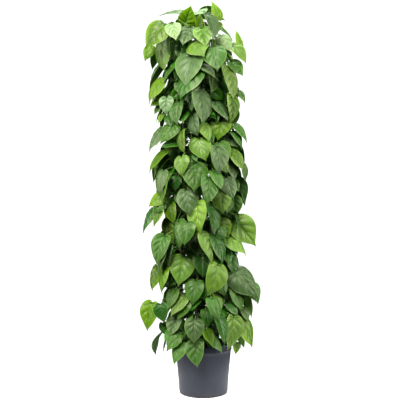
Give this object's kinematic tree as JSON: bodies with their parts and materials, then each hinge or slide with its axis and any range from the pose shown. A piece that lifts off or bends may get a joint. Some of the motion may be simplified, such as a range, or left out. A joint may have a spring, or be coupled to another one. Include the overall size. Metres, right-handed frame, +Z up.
{
  "type": "potted climbing plant",
  "caption": "Tall column of hanging heart-shaped leaves trained up an open mesh support, in a tapered round nursery pot.",
  "frame": {"origin": "middle of the pot's flat underside, on the floor", "axes": "+Z up along the pot's axis, -Y towards the viewer of the picture, +X to the viewer's right"},
  "size_m": [0.5729, 0.5214, 1.8569],
  "materials": {
    "pot_plastic": "satin injection-moulded plastic, bluish dark grey",
    "soil": "matt, crumbly dark brown potting mix",
    "mesh_plastic": "black plastic mesh",
    "foliage": "satin green leaves with paler stems"
  },
  "bodies": {
    "root": {"pot": "pot_plastic", "soil": "soil", "support_column": "mesh_plastic", "vine_01": "foliage", "vine_02": "foliage", "vine_03": "foliage", "vine_04": "foliage", "vine_05": "foliage", "vine_06": "foliage", "vine_07": "foliage", "vine_08": "foliage", "vine_09": "foliage", "vine_10": "foliage", "vine_11": "foliage", "vine_12": "foliage"}
  },
  "joints": []
}
